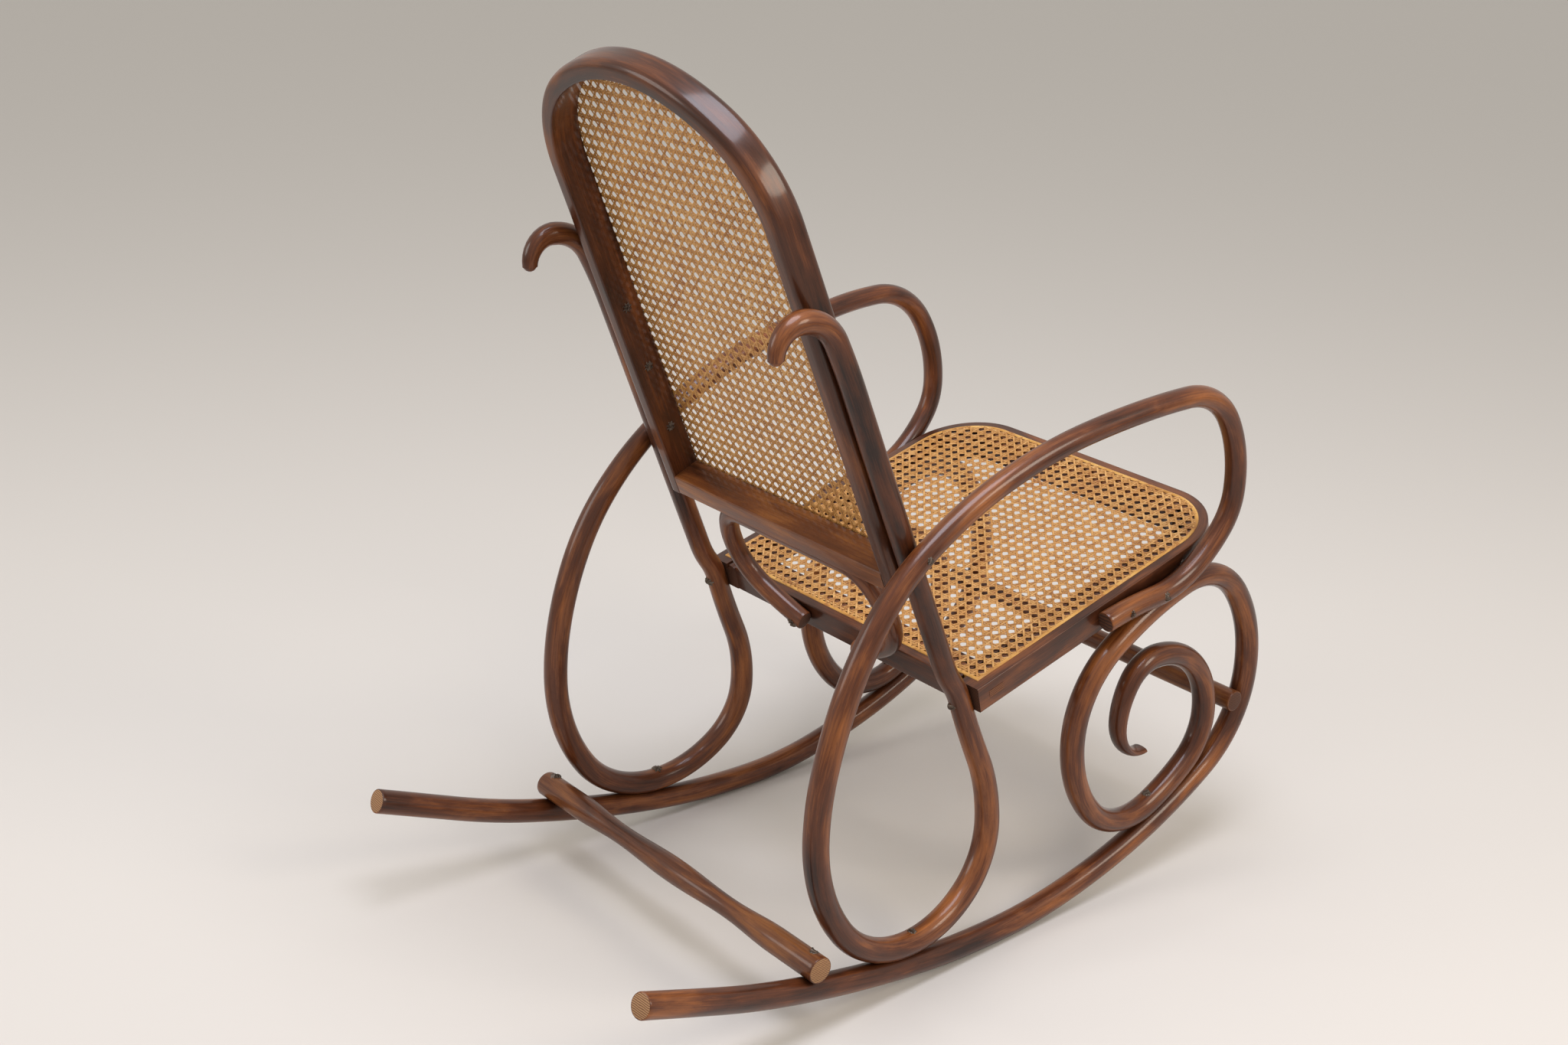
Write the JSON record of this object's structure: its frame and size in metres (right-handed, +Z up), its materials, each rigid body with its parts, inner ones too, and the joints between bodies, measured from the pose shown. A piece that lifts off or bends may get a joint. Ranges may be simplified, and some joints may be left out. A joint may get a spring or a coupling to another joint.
{
  "type": "rocking chair",
  "caption": "Bentwood rocking chair of bent rods with scrolled runners, looped side bars that form the arms, a tall arched caned back and a caned seat.",
  "frame": {"origin": "on the floor, midway between the two runners and midway along the chair's overall length, at its resting tilt", "axes": "the chair faces -Y, +X is its left, +Z is up"},
  "size_m": [0.511, 0.9178, 0.9659],
  "materials": {
    "rod": "bent beech rod, stained reddish brown and polished",
    "frame": "bent and planed beech, stained reddish brown and polished",
    "turned": "turned beech, stained brown, worn",
    "dowel": "bare beech",
    "cane": "woven cane, varnished straw yellow",
    "spline": "cane spline glued in its groove",
    "screw": "dull steel wood screw"
  },
  "bodies": {
    "root": {"left_side_bar": "rod", "right_side_bar": "rod", "left_runner": "rod", "right_runner": "rod", "back_hoop": "frame", "back_bottom_rail": "frame", "back_cane": "cane", "back_spline": "spline", "seat_bow": "frame", "seat_rear_rail": "frame", "seat_cane": "cane", "seat_spline": "spline", "back_brace": "rod", "rear_stretcher": "turned", "front_stretcher": "turned", "back_rail_dowels": "dowel", "back_screws": "screw", "seat_upright_screws": "screw", "arm_crossing_screws": "screw", "arm_end_screws": "screw", "loop_screws": "screw", "scroll_foot_screws": "screw", "scroll_top_screws": "screw", "rear_stretcher_screws": "screw", "front_stretcher_screws": "screw", "brace_end_screws": "screw", "brace_top_screws": "screw"}
  },
  "joints": []
}
